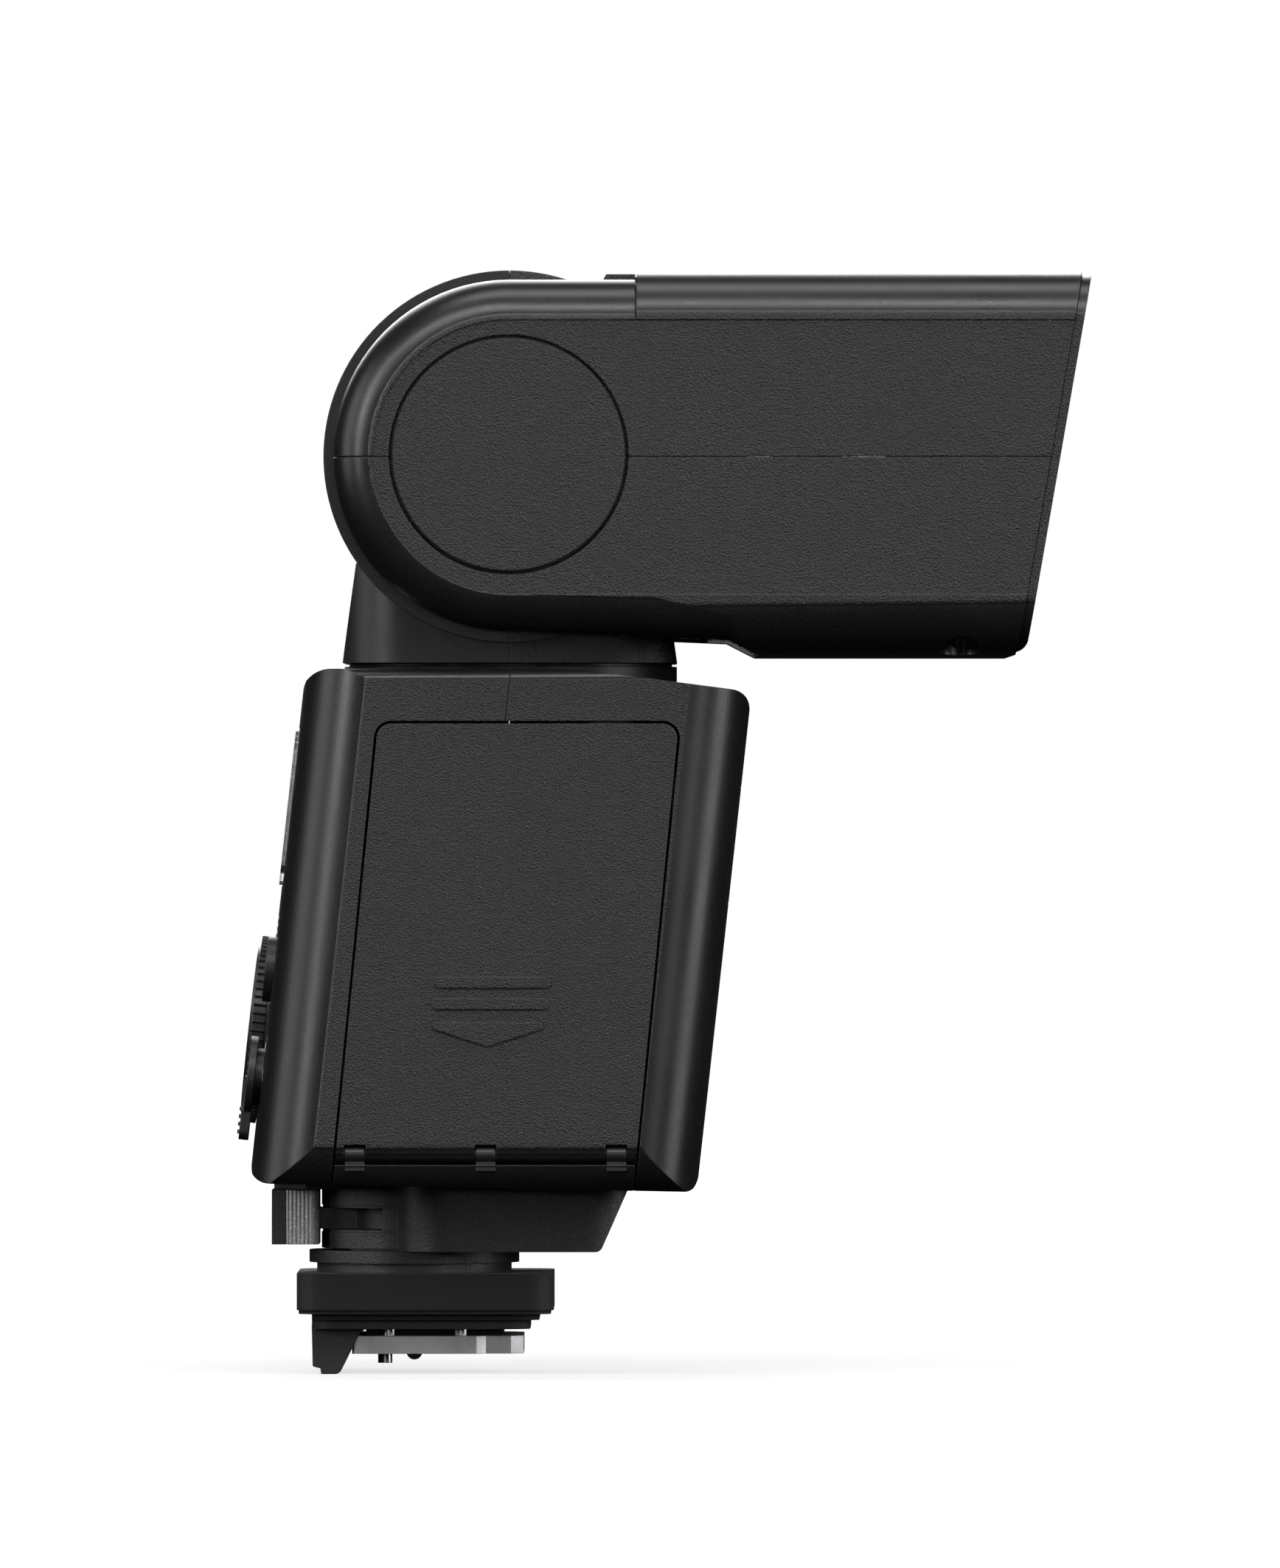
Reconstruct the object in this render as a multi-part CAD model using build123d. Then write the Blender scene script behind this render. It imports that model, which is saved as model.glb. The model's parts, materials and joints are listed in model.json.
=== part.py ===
from build123d import *
import os
from math import cos, radians, sin, tan

# A shoe-mount speedlight flash: control body and foot, swivel turret, tilting head.
# Millimetres. The origin is the centre of the underside of the metal foot plate. +Z is up, the
# flash fires towards -Y, and the battery door is on the -X side. Side profiles are drawn as
# (forward, up) points, where forward is -Y.

# ---- Driving dimensions ----
AXIS_FORWARD = 10.1        # swivel axis, and the tilt axis above it
TILT_HEIGHT = 93.3
WALL = 1.8                 # moulded shell wall

BODY_HALF_WIDTH = 32.0
BODY_LEAN = 6.25           # degrees the body leans forward
BODY_REAR_AT_0 = -19.12    # rear and front faces carried down to height 0
BODY_FRONT_AT_0 = 27.76
BODY_BOTTOM_REAR = 18.2
BODY_BOTTOM_FRONT = 17.25
BODY_TOP = 71.3
SEAM_AT_0 = 2.5            # seam between the rear and front body shells

HUB_RADIUS = 19.25
HUB_HALF_WIDTH = 23.5
NECK_BOTTOM = 71.97
NECK_HALF_LENGTH = 17.4
NECK_HALF_WIDTH = 21.0

HEAD_HALF_WIDTH = 34.7
HEAD_REAR_RADIUS = 18.1
CHEEK_INNER = 23.8         # inner face of the cheeks that hold the hub
HEAD_TOP = 112.15
HEAD_BOTTOM = 72.7
BELLY_SLOPE = 2.4          # degrees the underside falls from the rear round to the belly's end
BELLY_END = 32.8
HEAD_FRONT_AT_TOP = 70.1
HEAD_RAKE = 9.85           # degrees the front face leans forward at the top
HEAD_ROUND = 4.3
HUB_GAP = 0.5              # between the hub and the head around it
SHELL_SEAM = 93.1          # seam between the upper and lower head shells
TOP_COVER_REAR = 23.25
PANEL_TOP = 107.2
PANEL_BOTTOM = 78.9
CAP_RADIUS = 12.1
CAP_RECESS_RADIUS = 12.37

PANEL_SUNK = 0.15         # how far the side panels and caps lie below the rims round them
SEAM_GAP = 0.05

SHAFT_RADIUS = 6.0
SPIGOT_RADIUS = 12.0
RUNNING_FIT = 0.06

LENS_HALF_WIDTH = 30.5
WINDOW_HALF_WIDTH = 28.5
CARD_HALF_WIDTH = 27.0
CARD_LENGTH = 41.0

ROD_X = 20.0
ROD_HEIGHT = 78.2
ROD_REAR = 36.0
SCREW_X = 29.2
SCREW_HEIGHT = 98.0
SCREW_RADIUS = 1.3
LAMP_HEIGHT = 93.0
REFLECTOR_FRONT = 49.0
ADAPTER_X = 30.8
ADAPTER_FORWARD = 56.7
ADAPTER_RADIUS = 2.15
ADAPTER_TOP = 79.4

CELL_RADIUS = 7.2
CELL_LENGTH = 50.0
CELL_PITCH = 14.8
CELL_ROWS = (28.7, 43.5)

DIAL_HEIGHT = 33.6
DIAL_RADIUS = 9.8
DIAL_TEETH = 66
# Buttons and power lever on the rear face: x, height and radius.
MENU_PLACE = (-19.6, 40.2, 3.4)
MODE_PLACE = (19.6, 40.2, 3.4)
TEST_PLACE = (19.2, 28.6, 4.0)
LEVER_PLACE = (-20.0, 29.0, 3.0)
BUTTON_GAP = 0.2

DOOR_LEAN = 0.0984         # forward shift of the door's sides per unit of height
DOOR_AXIS_X = -30.9
DOOR_AXIS_Z = 21.25
DOOR_THICKNESS = 1.7
HINGE_RADIUS = 0.85
CARRIER_INNER = -27.4
CARRIER_TOP = 20.1
CARRIER_KNUCKLES = (-5.8, 7.7, 21.2)

LIGHT_WIDTH = 24.0
LIGHT_HEIGHT = 12.0
LIGHT_CENTRE = 53.0

FOOT_PLATE_HALF_WIDTH = 9.3
FOOT_PLATE_THICKNESS = 1.86
FOOT_PLATE_REAR = -6.4
LEVER_LOW = 12.9
LEVER_HIGH = 15.1
LOCK_PIN_FORWARD = -3.06
LOCK_PIN_RADIUS = 0.75
CONTACT_RADIUS = 0.85

slope = tan(radians(BODY_LEAN))
SIDE = Plane(origin=(0, 0, 0), x_dir=(0, -1, 0), z_dir=(-1, 0, 0))
FRONTAL = Plane(origin=(0, 0, 0), x_dir=(1, 0, 0), z_dir=(0, -1, 0))
LEANING = Plane(
    origin=(0, 0, 0), x_dir=(1, 0, 0), z_dir=(0, -sin(radians(BODY_LEAN)), cos(radians(BODY_LEAN)))
)


# ---- Drawing helpers ----
def outline(corners):
    """Closed face through (u, v, radius) corners, each rounded by its own tangent arc."""
    points = [Vector(u, v) for u, v, radius in corners]
    starts, mids, ends = [], [], []
    for index, (u, v, radius) in enumerate(corners):
        point = points[index]
        back = (points[index - 1] - point).normalized()
        ahead = (points[(index + 1) % len(points)] - point).normalized()
        half_turn = radians(back.get_angle(ahead)) / 2
        reach = radius / tan(half_turn)
        starts.append(point + back * reach)
        ends.append(point + ahead * reach)
        mids.append(point + (back + ahead).normalized() * (radius / sin(half_turn) - radius))
    edges = []
    for index, (u, v, radius) in enumerate(corners):
        if radius > 0:
            edges.append(ThreePointArc(starts[index], mids[index], ends[index]))
        edges.append(Line(ends[index], starts[(index + 1) % len(corners)]))
    return make_face(edges)


def side_prism(face, half_width):
    """A side profile carried the same distance either way along X."""
    return extrude(SIDE * face, half_width, both=True)


def side_slab(face, x_from, x_to):
    """A side profile carried from one X to another."""
    return Pos((x_from + x_to) / 2, 0, 0) * side_prism(face, abs(x_to - x_from) / 2)


def block(x_from, x_to, forward_from, forward_to, z_from, z_to):
    """A box given by its X, forward and Z limits."""
    size = (x_to - x_from, forward_to - forward_from, z_to - z_from)
    centre = ((x_from + x_to) / 2, -(forward_from + forward_to) / 2, (z_from + z_to) / 2)
    return Pos(*centre) * Box(*size)


def rod_x(radius, x_from, x_to, forward, z):
    """A round bar along X."""
    return Pos((x_from + x_to) / 2, -forward, z) * Rot(0, 90, 0) * Cylinder(radius, x_to - x_from)


def rod_y(radius, forward_from, forward_to, x, z):
    """A round bar along the firing direction."""
    middle = (forward_from + forward_to) / 2
    return Pos(x, -middle, z) * Rot(90, 0, 0) * Cylinder(radius, forward_to - forward_from)


def rod_z(radius, z_from, z_to, x, forward):
    """A round upright bar."""
    return Pos(x, -forward, (z_from + z_to) / 2) * Cylinder(radius, z_to - z_from)


def both_sides(shape):
    """A shape and its mirror image across the middle plane."""
    return shape + mirror(shape, Plane.YZ)


def rear_plane(x, z):
    """Plane on the body's rear face: u runs towards -X, v up the face, w outwards."""
    forward = BODY_REAR_AT_0 + slope * z
    lean = radians(BODY_LEAN)
    return Plane(origin=(x, -forward, z), x_dir=(-1, 0, 0), z_dir=(0, cos(lean), sin(lean)))


def on_rear(x, z, shape):
    """A shape drawn about the rear face's own axes, put at a point on that face."""
    return rear_plane(x, z) * shape


def disc(radius, w_from, w_to):
    """A round plate between two depths."""
    return Pos(0, 0, (w_from + w_to) / 2) * Cylinder(radius, w_to - w_from)


def plate(width, height, corner, w_from, w_to):
    """A rounded rectangular plate between two depths."""
    return Pos(0, 0, w_from) * extrude(RectangleRounded(width, height, corner), w_to - w_from)


# ---- Body envelope ----
def body_plan(inset):
    """Section square to the leaning body: flat sides and bowed front and rear covers."""
    side = BODY_HALF_WIDTH - inset
    rear = BODY_REAR_AT_0 * cos(radians(BODY_LEAN)) + inset
    front = BODY_FRONT_AT_0 * cos(radians(BODY_LEAN)) - inset
    depth_rear = 6.9
    depth_front = 6.5
    shoulder = 7.4
    bow = 0.5
    edges = []
    for end, depth in ((rear, depth_rear), (front, -depth_front)):
        way = 1 if depth > 0 else -1
        crease = end + depth
        face = end + way * bow
        for hand in (-1, 1):
            start = (hand * side, crease)
            middle = (hand * (side - 0.3 * shoulder), crease - depth * 0.67 + way * bow * 0.4)
            edges.append(ThreePointArc(start, middle, (hand * (side - shoulder), face)))
        edges.append(ThreePointArc((shoulder - side, face), (0, end), (side - shoulder, face)))
    for hand in (-1, 1):
        edges.append(Line((hand * side, rear + depth_rear), (hand * side, front - depth_front)))
    return make_face(edges)


def body_envelope(inset):
    """The body's outside, or with an inset, the inside of its shells."""
    prism = extrude(LEANING * mirror(body_plan(inset), Plane.XZ), 90)
    half = BODY_HALF_WIDTH - inset
    low = BODY_BOTTOM_FRONT - 0.2 + inset
    high = BODY_TOP - inset
    curl = 5.5 - inset
    edge = max(1.2 - inset, 0.3)
    frontal = outline([(-half, low, curl), (half, low, curl), (half, high, edge), (-half, high, edge)])
    rear_low = BODY_REAR_AT_0 + slope * BODY_BOTTOM_REAR
    front_low = BODY_FRONT_AT_0 + slope * BODY_BOTTOM_FRONT
    rear_high = BODY_REAR_AT_0 + slope * BODY_TOP
    profile = outline([
        (rear_low + inset, BODY_BOTTOM_REAR + inset, 2.2),
        (front_low - inset, BODY_BOTTOM_FRONT + inset, 1.6),
        (BODY_FRONT_AT_0 + slope * 68.9 - inset, 68.9 - inset, 2.2),
        (17.0, BODY_TOP - 0.05 - inset, 20.0),
        (rear_high + inset, BODY_TOP - inset, 3.4),
    ])
    return (prism & extrude(FRONTAL * frontal, 60, both=True)) & side_prism(profile, 40)


def body_slice(rear_offset, front_offset):
    """Everything between two planes that lean with the body, offset from its shell seam."""
    reach = 120
    corners = []
    for z in (-10, 90):
        corners.append((SEAM_AT_0 + slope * z + rear_offset, z, 0))
    for z in (90, -10):
        corners.append((SEAM_AT_0 + slope * z + front_offset, z, 0))
    return side_prism(outline(corners), reach)


def door_middle(z):
    """Forward position of the door's centre line, which leans with the body."""
    return 7.68 + DOOR_LEAN * (z - 20.5)


def door_outline(grow, bottom):
    """The battery door's edge in side view, down to a given height."""
    top = 65.63 + grow
    half = 15.5 + grow
    corner = 1.5 + grow
    return outline([
        (door_middle(bottom) - half, bottom, 0),
        (door_middle(bottom) + half, bottom, 0),
        (door_middle(top) + half, top, corner),
        (door_middle(top) - half, top, corner),
    ])


def carrier_gap(grow):
    """Space at the body's lower edge that the door's sliding carrier fills."""
    low = 10.0
    at_low = door_middle(low)
    at_top = door_middle(CARRIER_TOP + grow)
    half = 15.5 + grow
    face = outline([
        (at_low - half, low, 0),
        (at_low + half, low, 0),
        (at_top + half, CARRIER_TOP + grow, 0),
        (at_top - half, CARRIER_TOP + grow, 0),
    ])
    return side_slab(face, -40, CARRIER_INNER + grow)


def case_screw_places():
    """Screw wells under the body."""
    return [(x, forward) for x in (-23.0, 23.0) for forward in (-6.7, 14.3)]


def body_shells():
    cuts = [
        side_slab(door_outline(0.28, CARRIER_TOP), -60, -20),
        carrier_gap(0.25),
        rod_z(17.5, 60, 80, 0, AXIS_FORWARD),
        on_rear(0, 57.0, plate(40.4, 16.6, 2.2, -5, 5)),
        on_rear(0, DIAL_HEIGHT, disc(DIAL_RADIUS + 0.35, -5, 5)),
        light_window_shape(0.15, 6, 5),
    ]
    for x, z, radius in (MENU_PLACE, MODE_PLACE, TEST_PLACE, LEVER_PLACE):
        cuts.append(on_rear(x, z, disc(radius + BUTTON_GAP, -6, 5)))
    for x, forward in case_screw_places():
        cuts.append(rod_z(1.9, 10, 19.0, x, forward) + rod_z(0.95, 10, 24.0, x, forward))
    for hand in (-1, 1):
        cuts.append(on_rear(0, DIAL_HEIGHT, Pos(hand * 12.6, 0, -0.3) * Cone(2.2, 4.6, 2.2)))
    shell = body_envelope(0) - body_envelope(2.0) - cuts
    return shell & body_slice(-100, -0.04), shell & body_slice(0.04, 100)


def light_window_shape(grow, depth, proud):
    """The lamp window high on the front face: a rounded plate square to that face."""
    lean = radians(BODY_LEAN)
    z = LIGHT_CENTRE
    forward = BODY_FRONT_AT_0 + slope * z
    place = Plane(origin=(0, -forward, z), x_dir=(1, 0, 0), z_dir=(0, -cos(lean), -sin(lean)))
    return place * plate(LIGHT_WIDTH + 2 * grow, LIGHT_HEIGHT + 2 * grow, 2.5, -depth, proud)


# ---- Body: covers, display, controls ----
def rear_controls():
    """Display window and module, dial, buttons and power lever, all on the rear face."""
    pieces = {}
    pieces["lcd_window"] = on_rear(0, 57.0, plate(40.0, 16.2, 2.0, -0.9, 0.06))
    module = plate(36.0, 13.6, 0.5, -3.6, -0.95)
    pieces["lcd_module"] = on_rear(0, 57.0, module)
    pieces["control_pcb"] = on_rear(0, 43.5, plate(50.0, 41.0, 2.0, -6.3, -5.1))

    teeth = Sketch()
    pitch = 360 / DIAL_TEETH
    tooth = outline([(DIAL_RADIUS - 0.9, -0.36, 0), (DIAL_RADIUS, 0, 0), (DIAL_RADIUS - 0.9, 0.36, 0)])
    for index in range(DIAL_TEETH):
        teeth += Rot(0, 0, index * pitch) * tooth
    ring = Circle(DIAL_RADIUS - 0.35) + teeth
    dial = extrude(Pos(0, 0, 0.15) * ring, 1.35) + disc(DIAL_RADIUS - 0.5, -1.9, 0.2)
    dial += Pos(0, 0, 1.65) * Cylinder(DIAL_RADIUS - 1.0, 0.3)
    dial -= disc(5.3, -3, 3)
    dial -= disc(7.9, 1.55, 3) - disc(6.2, 1.0, 4)
    pieces["control_dial"] = on_rear(0, DIAL_HEIGHT, dial)
    encoder = disc(7.5, -4.9, -2.2) - disc(5.3, -6, 0)
    pieces["dial_encoder"] = on_rear(0, DIAL_HEIGHT, encoder)
    centre_button = disc(5.0, -2.3, 1.25) - (Pos(0, 0, 24.75) * Sphere(23.8))
    centre_button += disc(3.0, -3.9, -2.2)
    pieces["dial_button"] = on_rear(0, DIAL_HEIGHT, centre_button)

    for name, (x, z, radius), proud in (
        ("menu_button", MENU_PLACE, 0.5),
        ("mode_button", MODE_PLACE, 0.5),
        ("test_button", TEST_PLACE, 0.7),
    ):
        button = disc(radius, -3.3, proud)
        button += disc(radius + 0.9, -3.6, -2.75)
        button += disc(1.5, -4.3, -3.5)
        pieces[name] = on_rear(x, z, button)

    x, z, radius = LEVER_PLACE
    lever = disc(radius, -3.6, 0.35) + disc(radius + 1.0, -3.9, -2.75) + disc(radius + 1.2, 0.35, 1.1)
    tab = outline([(-2.1, 0, 0), (2.1, 0, 0), (2.1, -6.6, 0.9), (-2.1, -6.6, 0.9)])
    lever += Pos(0, 0, 0.35) * extrude(tab, 1.0)
    for row in range(4):
        lever += Pos(0, -3.4 - 0.8 * row, 1.35) * Box(3.2, 0.4, 0.4)
    pieces["power_lever"] = on_rear(x, z, lever)
    return pieces


def front_lamp():
    lean = radians(BODY_LEAN)
    window = light_window_shape(0, 2.0, 0.0) & body_envelope(0)
    forward = BODY_FRONT_AT_0 + slope * LIGHT_CENTRE
    place = Plane(
        origin=(0, -forward, LIGHT_CENTRE), x_dir=(1, 0, 0), z_dir=(0, -cos(lean), -sin(lean))
    )
    board = place * plate(30, 14, 1.0, -4.0, -3.0)
    for x in (-6.5, 0, 6.5):
        board += place * (Pos(x, 0, -2.65) * Box(3.5, 3.5, 0.7))
    return window, board


def swivel_collar():
    """Collar in the top of the body, with the raised ring that the turret turns on."""
    collar = rod_z(17.4, 68.0, 71.66, 0, AXIS_FORWARD)
    collar += rod_z(16.9, 71.6, NECK_BOTTOM - 0.04, 0, AXIS_FORWARD)
    return collar - rod_z(SPIGOT_RADIUS + RUNNING_FIT, 60, 80, 0, AXIS_FORWARD)


# ---- Body: power ----
def cell_places():
    """Centre of each cell in side view. The two columns lean with the door."""
    places = []
    for z in CELL_ROWS:
        middle = door_middle(z)
        for step in (-0.5, 0.5):
            places.append((middle + step * CELL_PITCH, z))
    return places


def battery_chamber():
    low, high = CELL_ROWS[0] - 7.45, CELL_ROWS[1] + 7.45
    wall = 1.2

    def tube(grow):
        middle_low = door_middle(low)
        middle_high = door_middle(high)
        half = 14.95 + grow
        return outline([
            (middle_low - half, low - grow, 1.0),
            (middle_low + half, low - grow, 1.0),
            (middle_high + half, high + grow, 1.0),
            (middle_high - half, high + grow, 1.0),
        ])

    return side_slab(tube(wall), -26.4, 28.2) - side_slab(tube(0), -40, 26.8)


def battery_cells():
    """Four round cells across the body, each with its raised positive end."""
    cells = Part()
    for index, (forward, z) in enumerate(cell_places()):
        cell = rod_x(CELL_RADIUS, -24.9, -24.9 + CELL_LENGTH - 1.2, forward, z)
        cap_from = -24.9 + CELL_LENGTH - 1.2
        if index % 2:
            cell = mirror(cell, Plane.YZ)
            cell += rod_x(2.7, -cap_from, -cap_from + 1.2, forward, z)
            cell = Pos(0.2, 0, 0) * cell
        else:
            cell += rod_x(2.7, cap_from - 1.2, cap_from, forward, z)
            cell += rod_x(2.7, cap_from - 0.1, cap_from + 1.1, forward, z)
        cells += cell
    return cells


def battery_contacts():
    """Sprung end plates on the chamber's far wall."""
    plates = Part()
    for z in CELL_ROWS:
        middle = door_middle(z)
        strip = block(26.3, 26.75, middle - 13.5, middle + 13.5, z - 4.5, z + 4.5)
        plates += strip
    return plates


# ---- Battery door ----
def battery_door():
    """Hinged side door with its raised arrow and bars and its hinge knuckles."""
    panel = body_envelope(0) - body_envelope(DOOR_THICKNESS)
    panel &= side_slab(door_outline(0, DOOR_AXIS_Z), -60, -20)
    ends = (door_middle(DOOR_AXIS_Z) - 15.4, door_middle(DOOR_AXIS_Z) + 15.4)
    panel += rod_y(HINGE_RADIUS, *ends, DOOR_AXIS_X, DOOR_AXIS_Z)
    for forward in CARRIER_KNUCKLES:
        panel -= block(-40, -28, forward - 1.1, forward + 1.1, 10, DOOR_AXIS_Z + 0.97)
    panel -= rod_y(0.4 + RUNNING_FIT, -20, 30, DOOR_AXIS_X, DOOR_AXIS_Z)
    for row_z in (38.95, 36.75):
        middle = mark_middle(row_z)
        bar = outline([
            (middle - 5.95, row_z - 0.55, 0.5),
            (middle + 5.95, row_z - 0.55, 0.5),
            (middle + 5.95, row_z + 0.55, 0.5),
            (middle - 5.95, row_z + 0.55, 0.5),
        ])
        panel += side_slab(bar, -32.25, -31.5)
    middle = mark_middle(34.0)
    arrow = outline([
        (middle, 32.35, 0.5),
        (middle + 5.6, 34.15, 0.2),
        (middle + 5.6, 34.8, 0.2),
        (middle - 5.6, 34.8, 0.2),
        (middle - 5.6, 34.15, 0.2),
    ])
    panel += side_slab(arrow, -32.25, -31.5)
    return panel


def mark_middle(z):
    """Forward position of the door's arrow marks at a height."""
    return door_middle(z) - 1.1


def door_contacts():
    """Bridging strips on the inside of the door that join the cells in pairs."""
    strips = Part()
    for z in CELL_ROWS:
        middle = door_middle(z)
        strips += block(-29.9, -29.5, middle - 12.5, middle + 12.5, z - 4.5, z + 4.5)
        strips += block(-30.29, -29.85, middle - 1.5, middle + 1.5, z - 1.5, z + 1.5)
    return strips


def door_carrier():
    """Sliding carrier under the door: the body's lower edge, three knuckles and the hinge pin."""
    strip = body_envelope(0) - body_envelope(2.6)
    strip &= carrier_gap(0)
    for forward in CARRIER_KNUCKLES:
        knuckle = rod_y(HINGE_RADIUS, forward - 1, forward + 1, DOOR_AXIS_X, DOOR_AXIS_Z)
        knuckle += block(-31.3, -30.1, forward - 1, forward + 1, CARRIER_TOP - 0.6, DOOR_AXIS_Z)
        strip += knuckle
    strip += rod_y(0.4, -7.4, 22.8, DOOR_AXIS_X, DOOR_AXIS_Z)
    return strip


# ---- Turret ----
def turret_envelope(inset):
    """Hub drum with the neck under it."""
    hub = rod_x(HUB_RADIUS - inset, inset - HUB_HALF_WIDTH, HUB_HALF_WIDTH - inset, AXIS_FORWARD, TILT_HEIGHT)
    base = NECK_HALF_LENGTH - inset
    shoulder_forward = 15.95 - inset
    shoulder_height = TILT_HEIGHT - 11.0
    neck_profile = outline([
        (AXIS_FORWARD - base, NECK_BOTTOM + inset, 0),
        (AXIS_FORWARD + base, NECK_BOTTOM + inset, 0),
        (AXIS_FORWARD + shoulder_forward, shoulder_height, 0),
        (AXIS_FORWARD - shoulder_forward, shoulder_height, 0),
    ])
    plan = RectangleRounded(2 * (NECK_HALF_WIDTH - inset), 2 * base, 7.0 - inset)
    column = Pos(0, -AXIS_FORWARD, 60) * extrude(plan, 40)
    return hub + (side_prism(neck_profile, 30) & column)


def turret_covers():
    shell = turret_envelope(0) - turret_envelope(WALL)
    shell -= rod_x(SHAFT_RADIUS + 0.02, -40, 40, AXIS_FORWARD, TILT_HEIGHT)
    shell -= rod_z(SPIGOT_RADIUS + 0.02, 60, 76, 0, AXIS_FORWARD)
    rear = shell & block(-40, 40, -60, AXIS_FORWARD - 0.04, 60, 130)
    front = shell & block(-40, 40, AXIS_FORWARD + 0.04, 80, 60, 130)
    return rear, front


def turret_frame():
    """Cast frame: a sleeve for the tilt shaft on a post, and the hollow spigot below it."""
    frame = rod_x(8.6, -20.5, 20.5, AXIS_FORWARD, TILT_HEIGHT)
    frame += block(-9, 9, AXIS_FORWARD - 7, AXIS_FORWARD + 7, 73.9, 90)
    frame += rod_z(SPIGOT_RADIUS, 67.95, 74.5, 0, AXIS_FORWARD)
    frame -= rod_x(SHAFT_RADIUS + 0.02, -40, 40, AXIS_FORWARD, TILT_HEIGHT)
    frame -= rod_z(4.5, 60, 84, 0, AXIS_FORWARD)
    for x in (-8.2, 8.2):
        frame -= rod_z(0.8, 60, 72.5, x, AXIS_FORWARD)
    return frame


def tilt_shaft():
    return rod_x(SHAFT_RADIUS, -31.0, 31.0, AXIS_FORWARD, TILT_HEIGHT) - rod_x(
        4.2, -40, 40, AXIS_FORWARD, TILT_HEIGHT
    )


def swivel_retainer():
    """Ring under the collar, with the two screws that hold it to the spigot."""
    ring = rod_z(15.0, 66.6, 67.85, 0, AXIS_FORWARD) - rod_z(4.5, 60, 80, 0, AXIS_FORWARD)
    for x in (-8.2, 8.2):
        ring -= rod_z(0.8, 60, 80, x, AXIS_FORWARD)
    screws = Part()
    for x in (-8.2, 8.2):
        screws += rod_z(0.78, 66.5, 72.0, x, AXIS_FORWARD) + rod_z(1.5, 66.2, 66.58, x, AXIS_FORWARD)
    return ring, screws


# ---- Head ----
def head_profile(inset, top, front):
    """Side view of the head, wide of the hub: round at the rear, raked at the front."""
    radius = HEAD_REAR_RADIUS - inset
    bottom_turn = radians(-90 - BELLY_SLOPE)
    low = (AXIS_FORWARD + radius * cos(bottom_turn), TILT_HEIGHT + radius * sin(bottom_turn))
    high = (AXIS_FORWARD, TILT_HEIGHT + radius)
    belly = (BELLY_END, low[1] - (BELLY_END - low[0]) * tan(radians(BELLY_SLOPE)))
    keel = (BELLY_END + 3.0, HEAD_BOTTOM + inset)
    rake = tan(radians(HEAD_RAKE))
    front_top = (front - rake * inset, top - inset)
    front_low = (front - rake * (top - HEAD_BOTTOM - inset), HEAD_BOTTOM + inset)
    lip = 1.1
    lip_rear = (front_low[0] - lip, front_low[1])
    lip_up = (front_low[0] + rake * lip, front_low[1] + lip)
    lip_middle = (front_low[0] - 0.35 * lip, front_low[1] + 0.25 * lip)
    edges = [
        ThreePointArc(high, (AXIS_FORWARD - radius, TILT_HEIGHT), low),
        Line(low, belly),
        Line(belly, keel),
        Line(keel, lip_rear),
        ThreePointArc(lip_rear, lip_middle, lip_up),
        Line(lip_up, front_top),
        Line(front_top, high),
    ]
    return make_face(edges)


def head_envelope(inset, reach=0.0):
    """Outside of the head without its hub space, or with an inset, its inside.

    The reach carries the raked front face forward, so that the inside is open at the front.
    """
    low_top = TILT_HEIGHT + HEAD_REAR_RADIUS
    half = HEAD_HALF_WIDTH - inset
    front = HEAD_FRONT_AT_TOP + reach
    block_shape = side_prism(head_profile(inset, low_top, front), half)
    rims = [
        edge
        for edge in block_shape.edges()
        if abs(abs(edge.center().X) - half) < 0.01 and not on_front_face(edge, front)
    ]
    block_shape = fillet(rims, HEAD_ROUND - 0.6 * inset)
    keel_radius = PANEL_BOTTOM - HEAD_BOTTOM - 0.6 * inset
    section = outline([
        (-half, HEAD_BOTTOM + inset, keel_radius),
        (half, HEAD_BOTTOM + inset, keel_radius),
        (half, 130, 0),
        (-half, 130, 0),
    ])
    block_shape &= extrude(FRONTAL * section, 100, both=True)
    radius = 4.8 - 0.6 * inset
    top_face = outline([
        (-half, 90, 0),
        (half, 90, 0),
        (half, HEAD_TOP - inset, radius),
        (-half, HEAD_TOP - inset, radius),
    ])
    rear = TOP_COVER_REAR + inset
    cover = Pos(0, -rear, 0) * extrude(FRONTAL * top_face, 60)
    middle = block(-CHEEK_INNER + inset, CHEEK_INNER - inset, 18.0, 40, 100, HEAD_TOP - inset)
    return block_shape + ((cover + middle) & front_slice(-reach, 120))


def on_front_face(edge, front):
    """Whether an edge lies in the raked front face or the lip below it."""
    middle = edge.center()
    top_at = TILT_HEIGHT + HEAD_REAR_RADIUS
    return -middle.Y > front - tan(radians(HEAD_RAKE)) * (top_at - middle.Z) - 1.6


def front_slice(near, far):
    """Everything between two planes parallel to the raked front face, set back from it."""
    rake = tan(radians(HEAD_RAKE))
    top_at = TILT_HEIGHT + HEAD_REAR_RADIUS
    corners = []
    for z in (40, 150):
        corners.append((HEAD_FRONT_AT_TOP - far - rake * (top_at - z), z, 0))
    for z in (150, 40):
        corners.append((HEAD_FRONT_AT_TOP - near - rake * (top_at - z), z, 0))
    return side_prism(outline(corners), 100)


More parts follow.
